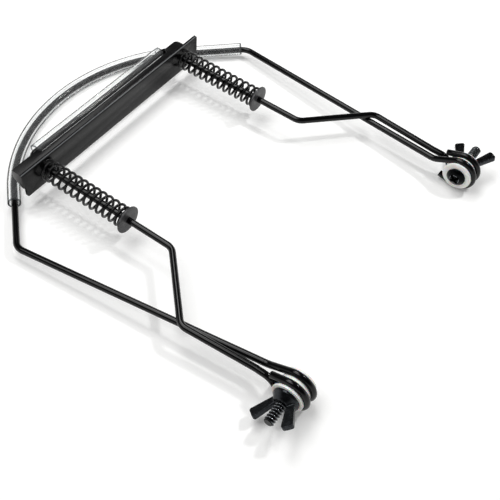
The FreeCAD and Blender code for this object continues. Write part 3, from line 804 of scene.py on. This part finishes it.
# The same plating on a casting's rougher skin: greyer, with soft broad highlights
nut_zinc = black_zinc("black_zinc_plated_casting", "#27292b", "#393b3e", 0.26)
for name in ("left", "right"):
    nut = bpy.data.objects.new("cast_wing_nut_" + name,
                               merged_copy("wing_nut_" + name, "cast_wing_nut_" + name, nut_zinc))
    # The solid is rebuilt in small even cells and relaxed, which rounds its edges as casting does
    cells = nut.modifiers.new("casting skin", "REMESH")
    cells.mode = "VOXEL"
    cells.voxel_size = cast_grain
    cells.use_smooth_shade = True
    fillets = nut.modifiers.new("soft edges", "SMOOTH")
    fillets.factor = 0.5
    fillets.iterations = cast_rounds
    rigged(nut, "wing_nut_" + name, ["wing_nut_" + name])

# Table and light: a white sheet in pale surroundings, two broad soft lights overhead that leave one
# soft shadow and a long streak on each wire, and a smaller one that puts the points of light on the
# eyes. The camera stands where the photograph's did.

camera_azimuth = math.radians(-58.29)
camera_elevation = math.radians(52.32)
camera_roll = math.radians(4.56)
camera_distance = 463.4 * MM
camera_target = np.array([-35.13, -49.48, 10.0]) * MM
nearest_seen = 10.0 * MM
film_width = 36
focal_pixels = 806.08
photo_width = 500
photo_centre = (250.48, 249.17)

look = np.array([
    -math.sin(camera_azimuth) * math.cos(camera_elevation),
    math.cos(camera_azimuth) * math.cos(camera_elevation),
    -math.sin(camera_elevation),
])
right = np.cross(look, [0, 0, 1])
right /= np.linalg.norm(right)
up = np.cross(right, look)
right, up = (right * math.cos(camera_roll) + up * math.sin(camera_roll),
             up * math.cos(camera_roll) - right * math.sin(camera_roll))
lens = bpy.data.cameras.new("camera")
lens.sensor_width = film_width
lens.lens = focal_pixels / photo_width * film_width
lens.shift_x = (photo_width / 2 - photo_centre[0]) / photo_width
lens.shift_y = (photo_centre[1] - photo_width / 2) / photo_width
lens.clip_start = nearest_seen
camera = bpy.data.objects.new("camera", lens)
bpy.context.scene.collection.objects.link(camera)
turn = Matrix([[right[k], up[k], -look[k]] for k in range(3)]).to_4x4()
camera.matrix_world = Matrix.Translation(Vector(camera_target - look * camera_distance)) @ turn
bpy.context.scene.camera = camera


def seen_rays(owner):
    """One where a ray comes from the camera or through a gloss or clear surface, else zero."""
    rays = add(owner, "ShaderNodeLightPath").outputs
    seen = add(owner, "ShaderNodeMath", {"operation": "MAXIMUM"}, n0=rays["Is Camera Ray"],
               n1=rays["Is Glossy Ray"])
    return add(owner, "ShaderNodeMath", {"operation": "MAXIMUM"}, n0=seen.outputs[0],
               n1=rays["Is Transmission Ray"]).outputs[0]


sheet_half = 3.0
lit_reach = 0.25
unlit_reach = 1.1
near_glow = 0.14
far_glow = 0.76


def white_sheet(name):
    """Matt white sheet that keeps the soft shadows and is seen a little paler than it is lit, and
    far from the object, where the lamps don't reach, paler still."""
    material = new_material(name)
    matt = add(material, "ShaderNodeBsdfDiffuse", Color=linear("#f2f2f1"))
    place = add(material, "ShaderNodeTexCoord").outputs["Object"]
    away = add(material, "ShaderNodeVectorMath", {"operation": "LENGTH"}, n0=place).outputs["Value"]
    rise = add(material, "ShaderNodeMapRange", Value=away, From_Min=lit_reach, From_Max=unlit_reach,
               To_Min=near_glow, To_Max=far_glow)
    level = add(material, "ShaderNodeMath", {"operation": "MULTIPLY"}, n0=seen_rays(material),
                n1=rise.outputs[0])
    glow = add(material, "ShaderNodeEmission", Strength=level.outputs[0])
    both = add(material, "ShaderNodeAddShader", n0=matt.outputs[0], n1=glow.outputs[0])
    add(material, "ShaderNodeOutputMaterial", Surface=both.outputs[0])
    return material


corners = np.array([(-1, -1, 0), (1, -1, 0), (1, 1, 0), (-1, 1, 0)]) * sheet_half
floor_mesh = bpy.data.meshes.new("white_table")
floor_mesh.from_pydata(corners.tolist(), [], [(0, 1, 2, 3)])
floor_mesh.materials.append(white_sheet("matt_white_sheet"))
floor = bpy.data.objects.new("white_table", floor_mesh)
bpy.context.scene.collection.objects.link(floor)

room_light = 0.26
dim_ceiling = 0.06
wall_top = 0.12
ceiling_edge = 0.45
world = bpy.data.worlds.new("pale_room")
bpy.context.scene.world = world
world.use_nodes = True
world.node_tree.nodes.clear()
# Gloss shows white walls round the table and a dimmer ceiling, so black wire stays black between
# its streaks; the camera and clear surfaces see plain white
toward = add(world, "ShaderNodeTexCoord").outputs["Generated"]
height = add(world, "ShaderNodeSeparateXYZ", Vector=toward).outputs[2]
walls = add(world, "ShaderNodeMapRange", Value=height, From_Min=wall_top, From_Max=ceiling_edge,
            To_Min=1.0, To_Max=dim_ceiling)
rays = add(world, "ShaderNodeLightPath").outputs
plain = add(world, "ShaderNodeMath", {"operation": "MAXIMUM"}, n0=rays["Is Camera Ray"],
            n1=rays["Is Transmission Ray"])
lit = add(world, "ShaderNodeMix", Factor=rays["Is Glossy Ray"], A=room_light, B=walls.outputs[0])
level = add(world, "ShaderNodeMix", Factor=plain.outputs[0], A=lit.outputs[0], B=1.0)
room = add(world, "ShaderNodeBackground", Color=(1, 1, 1, 1), Strength=level.outputs[0])
add(world, "ShaderNodeOutputWorld", Surface=room.outputs[0])


def soft_light(name, place, width, power):
    """Round lamp of a width and a power in watts, aimed at the middle of the table."""
    lamp = bpy.data.lights.new(name, "AREA")
    lamp.shape = "DISK"
    lamp.size = width
    lamp.energy = power
    holder = bpy.data.objects.new(name, lamp)
    bpy.context.scene.collection.objects.link(holder)
    aim = (-Vector(place)).to_track_quat("-Z", "Y").to_matrix().to_4x4()
    holder.matrix_world = Matrix.Translation(Vector(place)) @ aim


soft_light("overhead_softbox", place=(-0.3, 0.32, 0.95), width=0.7, power=4.6)
soft_light("streak_softbox", place=(0.25, 0.35, 0.9), width=0.45, power=3.4)
soft_light("bright_lamp", place=(0.57, -0.40, 0.85), width=0.12, power=3.8)

bpy.context.scene.view_settings.view_transform = "Standard"
